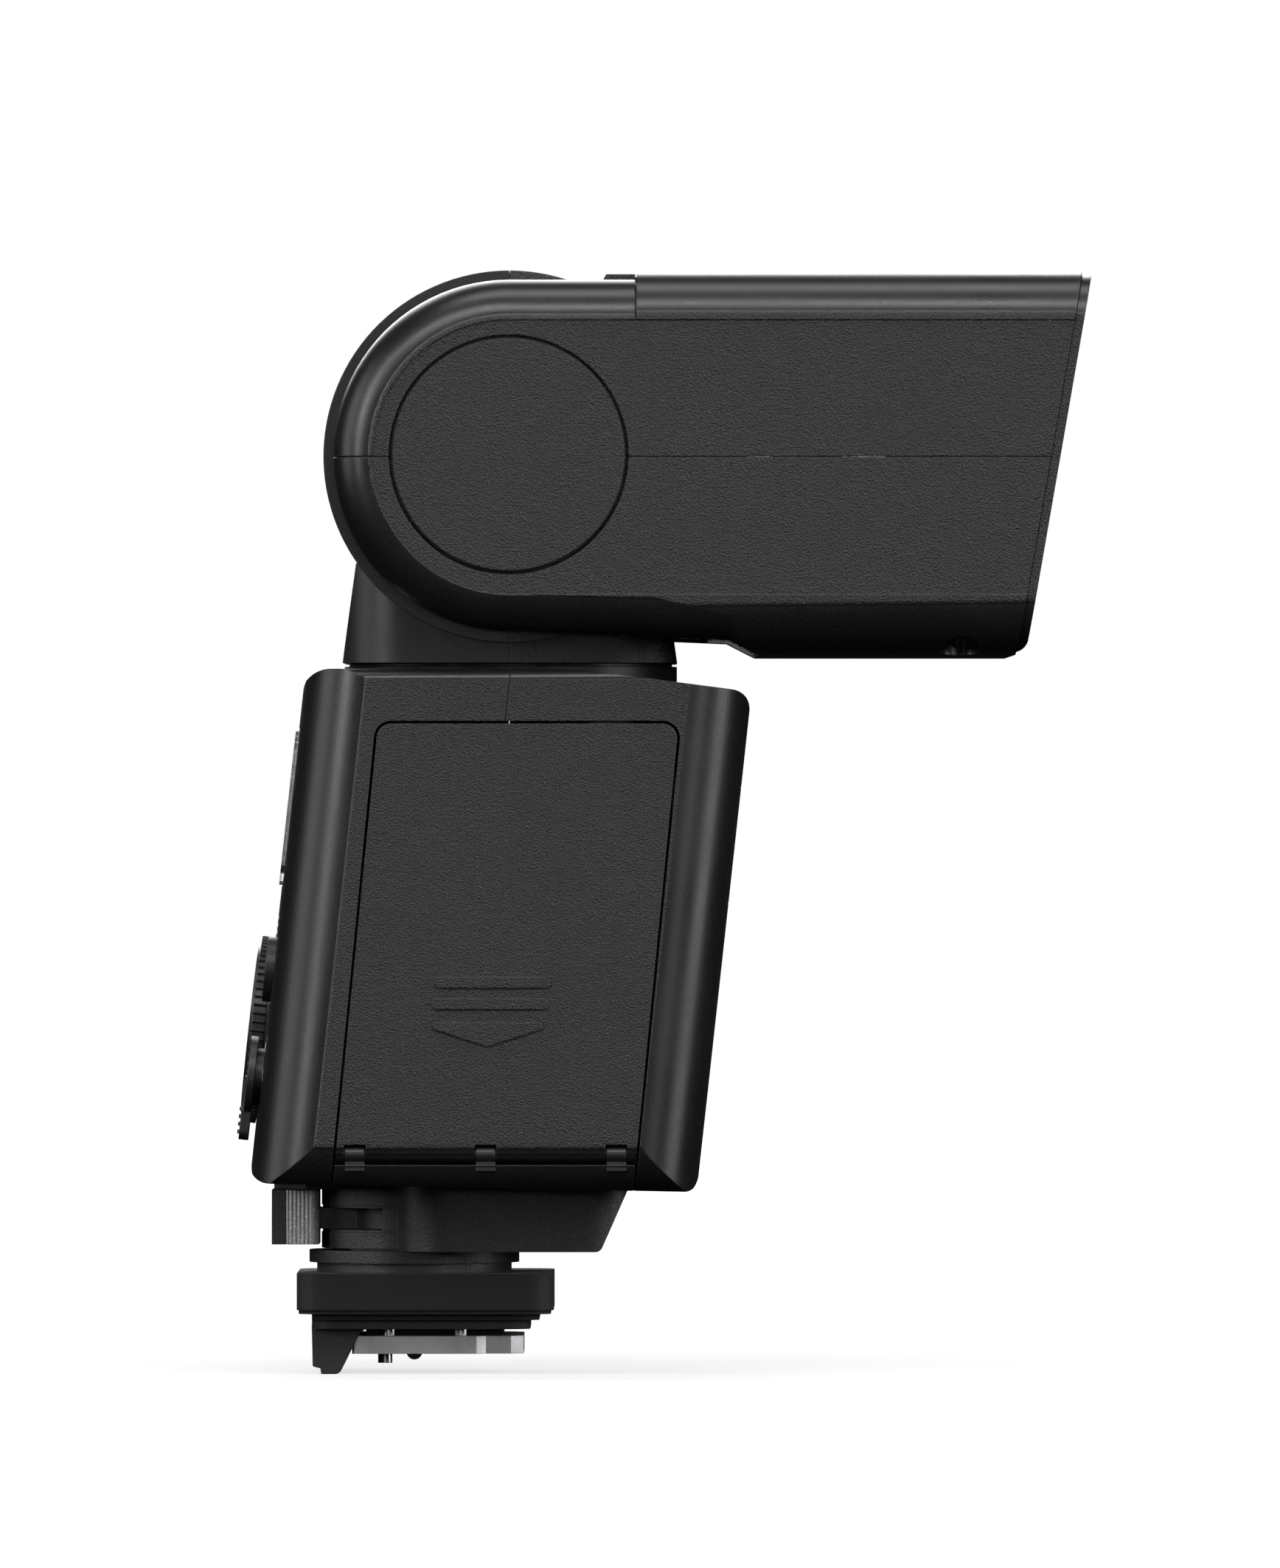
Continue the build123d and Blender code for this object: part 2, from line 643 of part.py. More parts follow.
def hub_zone(grow):
    """Side view of the space between the cheeks that the hub and neck sweep through."""
    stop_angle = radians(62)
    centre = (AXIS_FORWARD, TILT_HEIGHT)
    drum = Pos(*centre) * Circle(HUB_RADIUS + HUB_GAP + grow)
    shift = grow / sin(stop_angle)
    over = outline([
        (AXIS_FORWARD + shift, TILT_HEIGHT, 0),
        (AXIS_FORWARD + shift + 40 * cos(stop_angle), TILT_HEIGHT + 40 * sin(stop_angle), 0),
        (-25, TILT_HEIGHT + 40 * sin(stop_angle), 0),
        (-25, TILT_HEIGHT, 0),
    ])
    under = outline([
        (-25, TILT_HEIGHT, 0),
        (AXIS_FORWARD, TILT_HEIGHT, 0),
        (27.9 + grow, 84.6, 0),
        (30.75 + grow, 74.4, 0),
        (31.6 + grow, 60, 0),
        (-25, 60, 0),
    ])
    return drum + over + under


def panel_face():
    """Side view of the flat, slightly sunk side panel of the head."""
    rear_radius = HEAD_REAR_RADIUS - 4.0
    edges = [
        ThreePointArc(
            (AXIS_FORWARD, PANEL_TOP), (AXIS_FORWARD - rear_radius, TILT_HEIGHT), (AXIS_FORWARD, PANEL_BOTTOM)
        ),
        Line((AXIS_FORWARD, PANEL_BOTTOM), (90, PANEL_BOTTOM)),
        Line((90, PANEL_BOTTOM), (90, PANEL_TOP)),
        Line((90, PANEL_TOP), (AXIS_FORWARD, PANEL_TOP)),
    ]
    return make_face(edges)


def head_shells():
    """Upper shell, lower shell and top cover."""
    inside = head_envelope(WALL, 6.0) - side_prism(hub_zone(WALL), CHEEK_INNER + WALL)
    boss = both_sides(rod_z(ADAPTER_RADIUS + 1.0, 60, ADAPTER_TOP + 0.9, ADAPTER_X, ADAPTER_FORWARD))
    inside -= boss
    shell = head_envelope(0) - side_prism(hub_zone(0), CHEEK_INNER)
    shell -= inside
    shell &= front_slice(1.0, 120)
    for hand in (-1, 1):
        shell -= side_slab(panel_face(), hand * (HEAD_HALF_WIDTH - PANEL_SUNK), hand * 40)
        shell -= rod_x(CAP_RECESS_RADIUS, *sorted((hand * 33.6, hand * 40)), AXIS_FORWARD, TILT_HEIGHT)
        shell -= rod_x(8.45, *sorted((hand * 23, hand * 27)), AXIS_FORWARD, TILT_HEIGHT)
        shell -= rod_z(ADAPTER_RADIUS, 60, ADAPTER_TOP, hand * ADAPTER_X, ADAPTER_FORWARD)
    for x_from, x_to, y_off, z_off in cap_screw_places():
        shell -= rod_x(1.7, x_from, x_to, AXIS_FORWARD + y_off, TILT_HEIGHT + z_off)
    top_zone = block(-60, 60, TOP_COVER_REAR, 120, PANEL_TOP, 130)
    low_zone = block(-60, 60, -60, 120, 0, SHELL_SEAM - SEAM_GAP)
    high_zone = block(-60, 60, -60, 120, SHELL_SEAM + SEAM_GAP, 130)
    clear_top = block(-60, 60, TOP_COVER_REAR, 120, PANEL_TOP - 2 * SEAM_GAP, 130)
    groove = block(-60, 60, TOP_COVER_REAR - 0.12, 120, PANEL_TOP - 2 * SEAM_GAP, 130) - head_envelope(0.3)
    return (shell & high_zone) - clear_top - groove, shell & low_zone, shell & top_zone


def cap_screw_places():
    """X range and offsets from the tilt axis of the screws under each cap."""
    places = []
    for x_from, x_to in ((31.5, 34.0), (-34.0, -31.5)):
        for turn in (90, 210, 330):
            places.append((x_from, x_to, 8.2 * cos(radians(turn)), 8.2 * sin(radians(turn))))
    return places


def tilt_caps():
    """Round cap over the screws on each cheek, bevelled at its outer edge."""
    outer = HEAD_HALF_WIDTH - PANEL_SUNK
    cap = rod_x(CAP_RADIUS, 33.65, outer, AXIS_FORWARD, TILT_HEIGHT)
    rim = cap.edges().filter_by(GeomType.CIRCLE).sort_by(Axis.X)[-1]
    cap = chamfer(rim, 0.22)
    return cap, mirror(cap, Plane.YZ)


def tilt_bushes():
    """Flanged bushes in the cheeks that turn on the tilt shaft, and their screws."""
    bush = rod_x(10.0, 25.65, 31.3, AXIS_FORWARD, TILT_HEIGHT)
    bush += rod_x(8.4, 23.85, 25.7, AXIS_FORWARD, TILT_HEIGHT)
    bush -= rod_x(SHAFT_RADIUS + RUNNING_FIT, 20, 31.1, AXIS_FORWARD, TILT_HEIGHT)
    screws = Part()
    for x_from, x_to, y_off, z_off in cap_screw_places():
        forward, z = AXIS_FORWARD + y_off, TILT_HEIGHT + z_off
        if x_from > 0:
            bush -= rod_x(0.9, 26.9, 40, forward, z)
            screw = rod_x(0.88, 27.0, 33.0, forward, z) + rod_x(1.6, 32.95, 33.5, forward, z)
            screw -= block(33.2, 34, forward - 1.1, forward + 1.1, z - 0.2, z + 0.2)
            screws += both_sides(screw)
    return both_sides(bush), screws


def front_bezel():
    """Raked frame that holds the lens, with the slot for the card and panel over it."""
    bezel = head_envelope(0.3) & front_slice(0.0, 0.96)
    collar = head_envelope(1.9, 6.0) - head_envelope(3.3, 6.0)
    bezel += (collar & front_slice(0.9, 3.5)) & block(-60, 60, 0, 120, 70, 106.15)
    window = outline([
        (-WINDOW_HALF_WIDTH, 78.6, 2.0),
        (WINDOW_HALF_WIDTH, 78.6, 2.0),
        (WINDOW_HALF_WIDTH, 104.4, 2.0),
        (-WINDOW_HALF_WIDTH, 104.4, 2.0),
    ])
    bezel -= extrude(FRONTAL * window, 120)
    slot_half = CARD_HALF_WIDTH + 0.5
    bezel -= block(-slot_half, slot_half, 0, 120, 106.95, 109.85)
    return bezel


def front_at(z, set_back):
    """Forward position of a plane set back from the raked front face, at a height."""
    top_at = TILT_HEIGHT + HEAD_REAR_RADIUS
    return HEAD_FRONT_AT_TOP - set_back - tan(radians(HEAD_RAKE)) * (top_at - z)


def fresnel_lens():
    """Clear plate with fine ridges moulded across its inner face."""
    low, high, pitch = 76.8, 106.1, 1.395
    count = round((high - low) / pitch)
    corners = [(front_at(high, 1.05), high, 0), (front_at(low, 1.05), low, 0)]
    for index in range(count):
        base = low + index * pitch
        corners.append((front_at(base, 2.9), base, 0))
        corners.append((front_at(base + 0.85 * pitch, 2.35), base + 0.85 * pitch, 0))
    corners.append((front_at(high, 2.9), high, 0))
    return side_prism(outline(corners), LENS_HALF_WIDTH)


def cards():
    """Tray, white bounce card and clear wide panel stored over the lens."""
    tray = block(-32.3, 32.3, 27.4, 65.4, 106.3, 106.9)
    panel_front = front_at(107.7, 0.4)
    panel = block(-CARD_HALF_WIDTH, CARD_HALF_WIDTH, panel_front - CARD_LENGTH, panel_front, 107.25, 108.25)
    for x in range(-24, 25, 3):
        panel -= block(x - 0.25, x + 0.25, panel_front - CARD_LENGTH + 3, panel_front - 3, 107, 107.5)
    card_front = front_at(109.1, 0.4)
    card = block(-CARD_HALF_WIDTH, CARD_HALF_WIDTH, card_front - CARD_LENGTH, card_front, 108.6, 109.4)
    card -= rod_z(4.0, 100, 120, 0, card_front + 2.2)
    return tray, panel, card


# ---- Zoom mechanism ----
def zoom_parts():
    pieces = {}
    frame = block(-27.1, 27.1, ROD_REAR, 59.2, 75.0, 76.0)
    for x in (-ROD_X, ROD_X):
        for forward in (ROD_REAR + 0.6, 58.6):
            frame += block(x - 1.5, x + 1.5, forward - 0.6, forward + 0.6, 75.5, 79.7)
    frame += block(26.1, 27.1, 58.0, 59.2, 75.5, 100.2)
    frame += block(26.1, SCREW_X + 1.4, 58.0, 59.2, 81.0, 100.2)
    for x in (-ROD_X, ROD_X):
        frame -= rod_y(1.02, 20, 70, x, ROD_HEIGHT)
    frame -= rod_y(0.9, 20, 70, SCREW_X, SCREW_HEIGHT)
    pieces["zoom_frame"] = frame
    rods = Part()
    for x in (-ROD_X, ROD_X):
        rods += rod_y(1.0, ROD_REAR, 59.2, x, ROD_HEIGHT)
    pieces["guide_rods"] = rods
    motor = rod_y(3.3, 21.5, 30.0, SCREW_X, SCREW_HEIGHT) + rod_y(1.6, 29.9, 31.0, SCREW_X, SCREW_HEIGHT)
    motor -= rod_y(0.9, 28.0, 35.0, SCREW_X, SCREW_HEIGHT)
    pieces["zoom_motor"] = motor
    screw = rod_y(SCREW_RADIUS, 31.4, 57.7, SCREW_X, SCREW_HEIGHT)
    screw += rod_y(0.84, 28.4, 59.2, SCREW_X, SCREW_HEIGHT)
    for index in range(16):
        groove_at = 33.0 + 1.5 * index
        ring = rod_y(SCREW_RADIUS + 1, groove_at - 0.25, groove_at + 0.25, SCREW_X, SCREW_HEIGHT)
        ring -= rod_y(SCREW_RADIUS - 0.25, groove_at - 1, groove_at + 1, SCREW_X, SCREW_HEIGHT)
        screw -= ring
    pieces["zoom_screw"] = screw

    carriage = block(-27.3, 27.3, 41.0, 44.5, 76.6, 79.9)
    carriage += block(26.3, 27.3, 41.0, 44.5, 79.0, 100.4)
    carriage += block(26.3, 31.2, 41.0, 44.5, 81.0, 100.4)
    carriage += block(-27.3, -26.3, 41.0, 44.5, 79.0, 100.4)
    for x in (-ROD_X, ROD_X):
        carriage -= rod_y(1.0 + RUNNING_FIT, 20, 70, x, ROD_HEIGHT)
    carriage -= rod_y(SCREW_RADIUS + RUNNING_FIT, 20, 70, SCREW_X, SCREW_HEIGHT)
    pieces["zoom_carriage"] = carriage

    depth, tall, thick = 13.5, 12.0, 0.7
    behind = Pos(REFLECTOR_FRONT - 50, LAMP_HEIGHT) * Rectangle(100, 100)
    outer = Pos(REFLECTOR_FRONT, LAMP_HEIGHT) * Ellipse(depth + thick, tall + thick) & behind
    inner = Pos(REFLECTOR_FRONT, LAMP_HEIGHT) * Ellipse(depth, tall) & behind
    reflector = side_prism(outer, 25.8) - side_prism(inner, 25.1)
    reflector -= rod_x(2.0, -40, 40, 39.0, LAMP_HEIGHT)
    pieces["reflector"] = reflector
    tube = rod_x(1.7, -27.2, 27.2, 39.0, LAMP_HEIGHT)
    tube += both_sides(rod_x(1.95, 26.0, 28.8, 39.0, LAMP_HEIGHT))
    pieces["flash_tube"] = tube
    pieces["trigger_board"] = block(-20, 20, 33.0, 34.2, 82.0, 104.0)
    return pieces


# ---- Foot ----
def foot_block():
    """Tapered block under the body, open at the rear for the lock lever."""
    profile = outline([
        (-6.6, 10.7, 0.4),
        (19.5, 10.7, 0.8),
        (23.2, 19.0, 0),
        (-9.4, 19.0, 0),
    ])
    plan = Circle(9.3)
    plan += Pos(0, -10.8) * RectangleRounded(28, 24.8, 5.0)
    shape = side_prism(profile, 30) & extrude(plan, 40)
    shroud = rod_z(14.7, 17.15, 19.5, 0, 0) & block(-9.5, 9.5, -20, 0, 0, 40)
    shape += shroud
    for low, high in ((10.9, LEVER_LOW - 0.3), (LEVER_HIGH + 0.3, 17.2)):
        shape += rod_z(9.7, low, high, 0, 0)
    shape -= body_envelope(0)
    slot = rod_z(7.0, LEVER_LOW - 0.3, LEVER_HIGH + 0.3, 0, 0)
    slot += block(-8.7, 8.7, -16, -0.5, LEVER_LOW - 0.3, LEVER_HIGH + 0.3)
    slot -= rod_z(3.0, 0, 40, 0, 0)
    shape -= slot
    shape -= rod_z(1.0, 0, 40, 0, LOCK_PIN_FORWARD)
    return shape


def lock_lever():
    """Foot lock lever: a ring on the block's post, an arm, and a grey ribbed grip behind."""
    lever = rod_z(6.7, LEVER_LOW, LEVER_HIGH, 0, 0) - rod_z(4.3, 0, 40, 0, 0)
    lever += block(-3.0, 3.0, -13.0, -5.4, LEVER_LOW, LEVER_HIGH)
    lever += block(-5.2, 5.2, -14.85, -13.35, 11.3, 17.0)
    lever -= rod_z(4.3, 0, 40, 0, 0)
    rounded = outline([
        (-5.6, 9.9, 1.0),
        (5.6, 9.9, 1.0),
        (5.6, 13.3, 0.2),
        (-5.6, 13.3, 0.2),
    ])
    grip = Pos(0, 0, 11.3) * extrude(rounded, 5.7)
    for hand in (-1, 1):
        for index in range(6):
            grip -= rod_z(0.16, 11, 18, hand * 5.66, -10.9 - 0.42 * index)
    grip -= block(-3.02, 3.02, -20, 0, LEVER_LOW - 0.02, LEVER_HIGH + 0.02)
    return lever, grip


def foot_parts():
    pieces = {}
    neck = rod_z(11.0, 9.4, 10.7, 0, 0) + rod_z(10.2, 8.4, 9.5, 0, 0)
    neck -= rod_z(1.0, 0, 40, 0, LOCK_PIN_FORWARD)
    pieces["foot_neck"] = neck

    skirt = Part()
    for width, rear, front, low, high in (
        (25.6, -12.15, 14.65, 4.6, 8.4),
        (25.0, -11.95, 14.35, 4.2, 4.7),
        (22.6, -10.6, 13.15, 3.55, 4.3),
        (21.4, -10.6, 12.2, 2.6, 3.6),
    ):
        face = RectangleRounded(width, front - rear, 2.4)
        skirt += Pos(0, -(rear + front) / 2, low) * extrude(face, high - low)
    hood = outline([
        (-10.6, 3.0, 0),
        (-10.5, -1.3, 0.2),
        (-9.7, -1.5, 0),
        (-9.6, -2.1, 0.15),
        (-7.7, -2.1, 0.8),
        (-5.35, 2.62, 1.5),
        (-2.5, 2.8, 0),
        (-2.5, 3.0, 0),
    ])
    skirt += side_prism(hood, 9.6)
    plate_half = FOOT_PLATE_HALF_WIDTH + 0.05
    skirt -= block(-plate_half, plate_half, FOOT_PLATE_REAR - 0.05, 0, -1, FOOT_PLATE_THICKNESS)
    skirt += block(-6.2, 6.2, -5.0, 9.4, FOOT_PLATE_THICKNESS, 3.0)
    skirt -= rod_z(1.0, -5, 40, 0, LOCK_PIN_FORWARD)
    skirt -= rod_z(1.15, -5, 7.6, 0, 0)
    for x, forward in foot_screw_places():
        skirt -= rod_z(0.8, 0, 6.05, x, forward)
    pieces["foot_skirt"] = skirt

    half = FOOT_PLATE_HALF_WIDTH
    plan = outline([
        (-half, -FOOT_PLATE_REAR, 0.3),
        (-half, -6.6, 0),
        (0.95 - half, -7.55, 0),
        (0.95 - half, -10.2, 0),
        (2.25 - half, -11.5, 0),
        (half - 2.25, -11.5, 0),
        (half - 0.95, -10.2, 0),
        (half - 0.95, -7.55, 0),
        (half, -6.6, 0),
        (half, -FOOT_PLATE_REAR, 0.3),
    ])
    plate_shape = extrude(plan, FOOT_PLATE_THICKNESS)
    plate_shape -= rod_z(4.4, -5, 5, 0, 0)
    for x, forward in foot_screw_places():
        plate_shape -= rod_z(1.55, -1, 1.0, x, forward)
        plate_shape -= rod_z(0.85, -1, 5, x, forward)
    pieces["foot_plate"] = plate_shape
    insulator = rod_z(4.35, 0.0, FOOT_PLATE_THICKNESS, 0, 0) - rod_z(1.0, -1, 5, 0, LOCK_PIN_FORWARD)
    insulator -= rod_z(CONTACT_RADIUS + RUNNING_FIT, -1, 5, 0, 0)
    pieces["contact_insulator"] = insulator
    screws = Part()
    for x, forward in foot_screw_places():
        screw = rod_z(1.5, 0.1, 0.95, x, forward) + rod_z(0.78, 0.9, 6.0, x, forward)
        screw -= block(x - 1.0, x + 1.0, forward - 0.18, forward + 0.18, 0, 0.5)
        screw -= block(x - 0.18, x + 0.18, forward - 1.0, forward + 1.0, 0, 0.5)
        screws += screw
    pieces["foot_screws"] = screws
    contact = rod_z(CONTACT_RADIUS, -0.02, 6.2, 0, 0) + Pos(0, 0, -0.02) * Sphere(CONTACT_RADIUS)
    pieces["shoe_contact"] = contact
    pin = rod_z(LOCK_PIN_RADIUS, -1.2, 10.9, 0, LOCK_PIN_FORWARD)
    pieces["lock_pin"] = pin
    return pieces


def foot_screw_places():
    return [(x, forward) for x in (-6.9, 6.9) for forward in (-2.6, 4.9)]


def case_screws():
    screws = Part()
    for x, forward in case_screw_places():
        screw = rod_z(1.7, 18.15, 18.95, x, forward) + rod_z(0.9, 18.9, 19.9, x, forward)
        screw -= block(x - 1.2, x + 1.2, forward - 0.2, forward + 0.2, 18, 18.55)
        screw -= block(x - 0.2, x + 0.2, forward - 1.2, forward + 1.2, 18, 18.55)
        screws += screw
    return screws


def power_board():
    lean = radians(BODY_LEAN)
    z = 33.5
    place = Plane(
        origin=(0, -(BODY_FRONT_AT_0 + slope * z), z), x_dir=(1, 0, 0), z_dir=(0, -cos(lean), -sin(lean))
    )
    return place * plate(46, 21, 1.0, -4.0, -2.9)


# ---- Assembly ----
def build():
    parts = {}
    parts["body_rear_shell"], parts["body_front_shell"] = body_shells()
    parts.update(rear_controls())
    parts["lamp_window"], parts["lamp_board"] = front_lamp()
    parts["swivel_collar"] = swivel_collar()
    parts["battery_chamber"] = battery_chamber()
    parts["battery_cells"] = battery_cells()
    parts["battery_contacts"] = battery_contacts()
    parts["main_capacitor"] = rod_x(6.9, -22, 22, 20.5, 59.2)
    parts["power_pcb"] = power_board()
    parts["battery_door"] = battery_door()
    parts["door_contacts"] = door_contacts()
    parts["door_carrier"] = door_carrier()
    parts["turret_rear_cover"], parts["turret_front_cover"] = turret_covers()
    parts["turret_frame"] = turret_frame()
    parts["tilt_shaft"] = tilt_shaft()
    parts["swivel_retainer"], parts["retainer_screws"] = swivel_retainer()
    parts["head_upper_shell"], parts["head_lower_shell"], parts["head_top_cover"] = head_shells()
    parts["tilt_cap_left"], parts["tilt_cap_right"] = tilt_caps()
    parts["tilt_bushes"], parts["tilt_screws"] = tilt_bushes()
    parts["front_bezel"] = front_bezel()
    parts["fresnel_lens"] = fresnel_lens()
    parts["card_tray"], parts["wide_panel"], parts["bounce_card"] = cards()
    parts.update(zoom_parts())
    parts["foot_block"] = foot_block()
    parts["lock_lever"], parts["lever_grip"] = lock_lever()
    parts.update(foot_parts())
    parts["case_screws"] = case_screws()
    return parts


if __name__ == "__main__":
    os.makedirs("parts", exist_ok=True)
    for name, shape in build().items():
        export_step(shape, f"parts/{name}.step")
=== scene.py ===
"""Looks of the speedlight flash: materials, printed marks, screws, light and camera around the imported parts."""

import json
from math import cos, pi, radians, sin

import bmesh
import bpy
from mathutils import Matrix, Vector


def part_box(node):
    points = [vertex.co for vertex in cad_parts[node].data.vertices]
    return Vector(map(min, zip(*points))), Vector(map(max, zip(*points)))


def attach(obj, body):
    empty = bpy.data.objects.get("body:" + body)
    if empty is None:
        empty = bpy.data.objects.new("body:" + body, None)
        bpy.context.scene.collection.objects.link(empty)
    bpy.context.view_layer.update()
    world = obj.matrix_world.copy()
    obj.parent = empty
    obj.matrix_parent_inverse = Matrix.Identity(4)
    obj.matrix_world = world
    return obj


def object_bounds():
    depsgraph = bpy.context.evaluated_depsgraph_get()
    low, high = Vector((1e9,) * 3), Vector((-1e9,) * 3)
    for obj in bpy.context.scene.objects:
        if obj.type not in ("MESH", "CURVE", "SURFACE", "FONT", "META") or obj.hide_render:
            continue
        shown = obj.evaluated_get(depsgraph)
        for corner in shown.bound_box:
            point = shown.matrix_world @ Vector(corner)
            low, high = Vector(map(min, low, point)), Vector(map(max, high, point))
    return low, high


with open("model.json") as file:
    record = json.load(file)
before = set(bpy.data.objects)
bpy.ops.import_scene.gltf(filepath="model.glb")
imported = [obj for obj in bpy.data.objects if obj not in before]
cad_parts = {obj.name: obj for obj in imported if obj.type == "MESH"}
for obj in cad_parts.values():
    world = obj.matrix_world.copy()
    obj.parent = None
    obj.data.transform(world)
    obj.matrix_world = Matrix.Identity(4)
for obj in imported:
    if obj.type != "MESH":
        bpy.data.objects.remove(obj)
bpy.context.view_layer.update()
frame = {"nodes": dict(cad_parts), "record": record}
NODES = frame["nodes"]

MM = 0.001

# ---- Directions on the object ----
BODY_LEAN = radians(6.25)
REAR_OUT = Vector((0, cos(BODY_LEAN), sin(BODY_LEAN)))
REAR_UP = Vector((0, -sin(BODY_LEAN), cos(BODY_LEAN)))

# ---- Colours, linear ----
CHARCOAL = (0.0066, 0.0066, 0.0077)
BLACK = (0.010, 0.010, 0.011)
# A lighter black than the others: the foot's own plastic, lifted as painted fill light for the shade under the
# body.
FOOT_BLACK_WITH_PAINTED_FILL = (0.021, 0.021, 0.022)
RUBBER_BLACK = (0.005, 0.0047, 0.0055)
# Light grey laid on sharp edges: rubbed wear and painted edge highlights.
EDGE_WEAR_AND_HIGHLIGHT_GREY = (0.075, 0.075, 0.08)
GRIP_GREY = (0.46, 0.46, 0.475)
INK_WHITE = (0.72, 0.72, 0.70)


# ---- Material building ----
class Look:
    """One procedural material: its nodes are added step by step around a Principled shader."""

    def __init__(self, name):
        self.material = bpy.data.materials.new(name)
        self.material.use_nodes = True
        self.tree = self.material.node_tree
        self.shader = self.tree.nodes["Principled BSDF"]
        self.place = self.add("ShaderNodeTexCoord").outputs["Object"]
        self.facing = self.add("ShaderNodeTexCoord").outputs["Normal"]
        self.normal = None

    def add(self, kind, **settings):
        """A new node with its settings."""
        node = self.tree.nodes.new(kind)
        for key, value in settings.items():
            setattr(node, key, value)
        return node

    def feed(self, node, key, value):
        """Puts a number, a colour or another node's output into a socket."""
        if isinstance(value, bpy.types.NodeSocket):
            self.tree.links.new(value, node.inputs[key])
        elif isinstance(value, tuple) and len(value) == 3 and node.inputs[key].type == "RGBA":
            node.inputs[key].default_value = (*value, 1)
        else:
            node.inputs[key].default_value = value

    def noise(self, scale, detail=3.0, roughness=0.55, stretch=None):
        """Cloudy noise, about 1 / scale metres from one blob to the next."""
        node = self.add("ShaderNodeTexNoise")
        self.feed(node, "Vector", self.stretched(stretch))
        for key, value in (("Scale", scale), ("Detail", detail), ("Roughness", roughness)):
            self.feed(node, key, value)
        return node.outputs["Fac"]

    def cells(self, scale, feature="F1"):
        """Cell pattern: the distance from each cell's middle."""
        node = self.add("ShaderNodeTexVoronoi", feature=feature)
        self.feed(node, "Vector", self.place)
        self.feed(node, "Scale", scale)
        return node.outputs["Distance"]

    def stretched(self, stretch):
        """Object coordinates, scaled along each axis."""
        if stretch is None:
            return self.place
        node = self.add("ShaderNodeMapping")
        self.feed(node, "Vector", self.place)
        self.feed(node, "Scale", stretch)
        return node.outputs["Vector"]

    def maths(self, operation, first, second=0.0):
        """Arithmetic on one or two values."""
        node = self.add("ShaderNodeMath", operation=operation)
        self.feed(node, 0, first)
        self.feed(node, 1, second)
        return node.outputs[0]

    def spread(self, value, low, high, to_low, to_high, smooth=False):
        """Maps a value from one range to another and clamps it."""
        node = self.add("ShaderNodeMapRange", interpolation_type="SMOOTHSTEP" if smooth else "LINEAR")
        for key, number in (
            ("Value", value), ("From Min", low), ("From Max", high), ("To Min", to_low), ("To Max", to_high),
        ):
            self.feed(node, key, number)
        return node.outputs["Result"]

    def mix(self, share, first, second):
        """Blends two colours."""
        node = self.add("ShaderNodeMix", data_type="RGBA")
        node.clamp_factor = True
        self.feed(node, 0, share)
        self.feed(node, 6, first)
        self.feed(node, 7, second)
        return node.outputs[2]

    def blend(self, share, first, second):
        """Blends two values."""
        node = self.add("ShaderNodeMix", data_type="FLOAT")
        self.feed(node, 0, share)
        self.feed(node, 2, first)
        self.feed(node, 3, second)
        return node.outputs[0]

    def axis(self, vector, index):
        """One component of a vector."""
        node = self.add("ShaderNodeSeparateXYZ")
        self.feed(node, 0, vector)
        return node.outputs[index]

    def round_edges(self, radius):
        """Rounds the shading of sharp edges, and returns where those edges are."""
        soft = self.add("ShaderNodeBevel", samples=4)
        self.feed(soft, "Radius", radius)
        true = self.add("ShaderNodeNewGeometry").outputs["Normal"]
        dot = self.add("ShaderNodeVectorMath", operation="DOT_PRODUCT")
        self.feed(dot, 0, soft.outputs["Normal"])
        self.feed(dot, 1, true)
        self.normal = soft.outputs["Normal"]
        return self.spread(dot.outputs["Value"], 0.995, 0.86, 0.0, 1.0)

    def bump(self, height, depth, strength=1.0):
        """Relief on top of what is there already, its depth in metres."""
        node = self.add("ShaderNodeBump")
        self.feed(node, "Height", height)
        self.feed(node, "Distance", depth)
        self.feed(node, "Strength", strength)
        if self.normal is not None:
            self.feed(node, "Normal", self.normal)
        self.normal = node.outputs["Normal"]

    def finish(self, colour, roughness, **sockets):
        """Connects the surface and returns the material."""
        self.feed(self.shader, "Base Color", colour)
        self.feed(self.shader, "Roughness", roughness)
        for key, value in sockets.items():
            self.feed(self.shader, key.replace("_", " "), value)
        if self.normal is not None:
            self.feed(self.shader, "Normal", self.normal)
        return self.material


def side_panel_share(look):
    """1 on the flat sides, 0 on the bands that turn round to the other faces."""
    across = look.maths("ABSOLUTE", look.axis(look.facing, 0))
    return look.spread(across, 0.985, 0.997, 0.0, 1.0, smooth=True)


